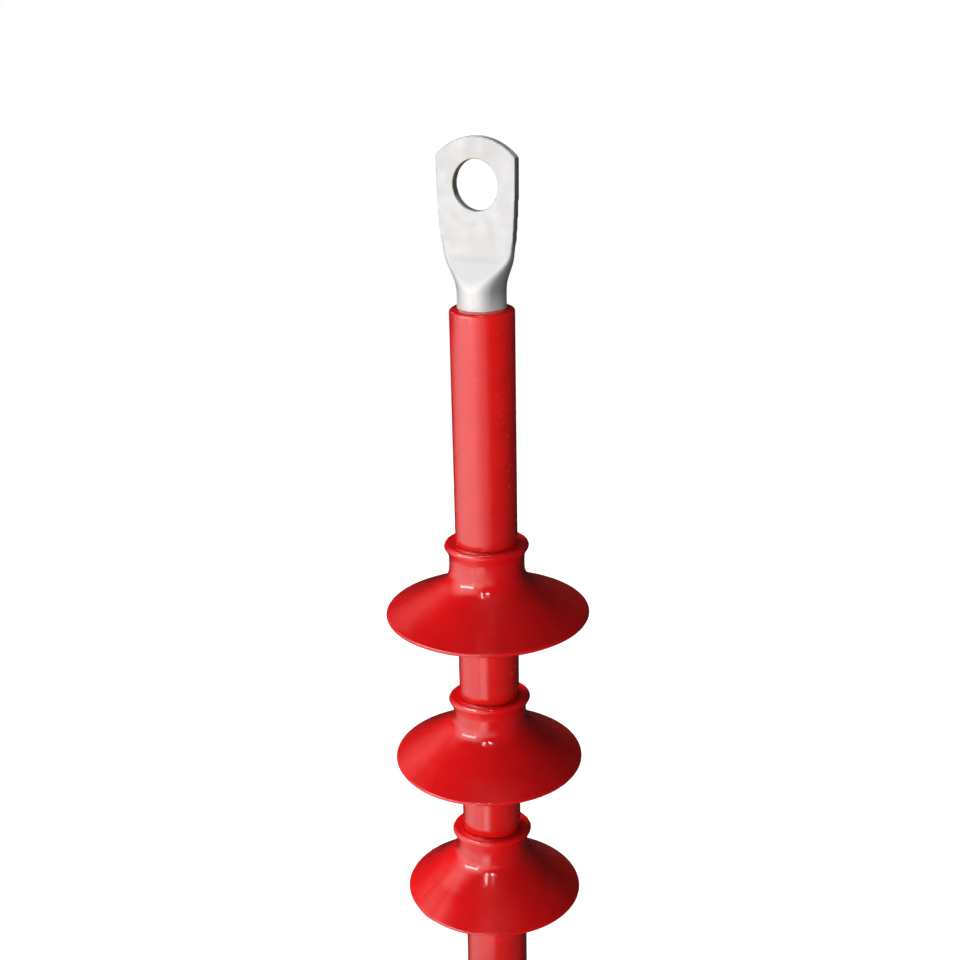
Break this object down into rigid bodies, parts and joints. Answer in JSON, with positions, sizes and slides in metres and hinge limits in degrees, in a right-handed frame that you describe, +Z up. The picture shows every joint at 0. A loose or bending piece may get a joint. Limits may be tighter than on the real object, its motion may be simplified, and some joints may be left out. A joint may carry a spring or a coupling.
{
  "type": "heat shrink cable termination",
  "caption": "Outdoor end of a single-core medium-voltage cable: a flat-palm lug above a red anti-tracking tube that carries drooping rain sheds and runs down onto the cable sheath.",
  "frame": {"origin": "centre of the lug's palm hole, on the palm's back face, which lies in the plane of the cable's axis", "axes": "+Z up along the cable's axis towards the palm's tip, -Y out of the palm's front face along the hole, +X across the palm"},
  "size_m": [0.076, 0.076, 0.4958],
  "materials": {
    "tinned_copper": "satin tin plating",
    "copper": "bare copper",
    "semiconductor": "matt black",
    "xlpe": "milky, smooth",
    "binder": "non-woven tape",
    "sheath_pvc": "extruded, slightly glossy",
    "stress_mastic": "soft filler",
    "stress_tube": "matt black",
    "sealant": "tacky",
    "red_tube": "glossy, shrunk",
    "red_shed": "glossy, moulded",
    "hot_melt": "translucent adhesive"
  },
  "bodies": {
    "root": {"cable_lug": "tinned_copper", "conductor_centre_wire": "copper", "conductor_inner_wires": "copper", "conductor_outer_wires": "copper", "conductor_screen": "semiconductor", "xlpe_insulation": "xlpe", "insulation_screen": "semiconductor", "copper_tape_screen": "copper", "binder_tape": "binder", "outer_sheath": "sheath_pvc", "stress_grading_mastic": "stress_mastic", "stress_control_tube": "stress_tube", "lug_sealing_mastic": "sealant", "sheath_sealing_mastic": "sealant", "anti_track_tube": "red_tube", "rain_shed_top": "red_shed", "shed_adhesive_top": "hot_melt", "rain_shed_middle": "red_shed", "shed_adhesive_middle": "hot_melt", "rain_shed_bottom": "red_shed", "shed_adhesive_bottom": "hot_melt"}
  },
  "joints": []
}
